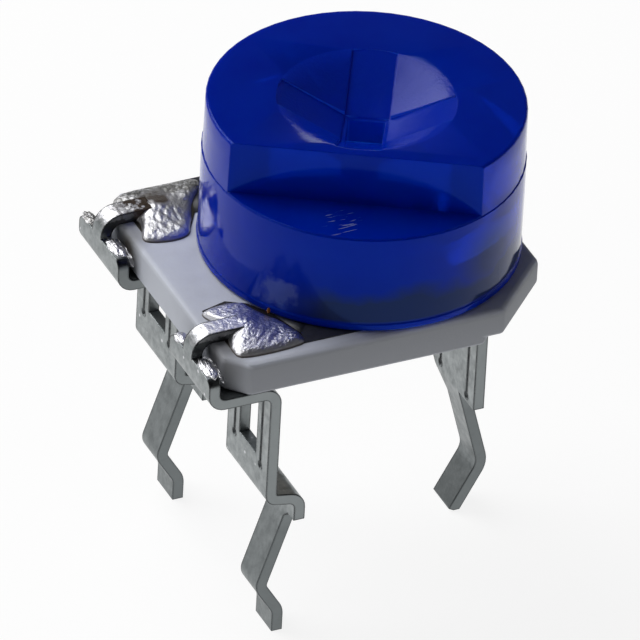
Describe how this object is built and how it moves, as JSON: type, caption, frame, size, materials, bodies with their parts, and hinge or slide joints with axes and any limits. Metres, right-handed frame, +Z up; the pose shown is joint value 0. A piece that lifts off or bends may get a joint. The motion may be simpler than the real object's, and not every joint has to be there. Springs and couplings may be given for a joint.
{
  "type": "trimmer potentiometer",
  "caption": "Open-frame trimmer potentiometer: clear blue turning knob with cross slot and side flat on a white ceramic plate, with solder joints and kinked board leads",
  "frame": {"origin": "On the knob's axis of rotation, in the plane where the three terminals seat on the board", "axes": "+Z up to the knob, +X from the two end terminals towards the wiper terminal, +Y towards end terminal 1"},
  "size_m": [0.0081, 0.0066, 0.0107],
  "materials": {
    "blue_plastic": "clear deep blue, glossy moulded plastic",
    "spring_brass": "bare stamped spring sheet",
    "rivet_brass": "bare turned and rolled rivet",
    "white_ceramic": "unglazed white alumina",
    "resistor_print": "matte black fired resistor paste",
    "silver_print": "fired silver conductor paste",
    "tinned_sheet": "sheet steel with a dull tin coat",
    "solder": "bright, slightly wrinkled solder"
  },
  "bodies": {
    "base": {"ceramic_plate": "white_ceramic", "resistive_track": "resistor_print", "end_pad_1": "silver_print", "end_pad_3": "silver_print", "pivot_rivet": "rivet_brass", "terminal_1": "tinned_sheet", "terminal_2": "tinned_sheet", "terminal_3": "tinned_sheet", "solder_joint_1": "solder", "solder_joint_3": "solder"},
    "rotor": {"knob": "blue_plastic", "wiper_spring": "spring_brass"}
  },
  "joints": [
    {"name": "knob_turn", "type": "hinge", "parent": "base", "child": "rotor", "pos_m": [0, 0, 0.00443], "axis": [0, 0, 1], "range_deg": [-130, 130]}
  ]
}
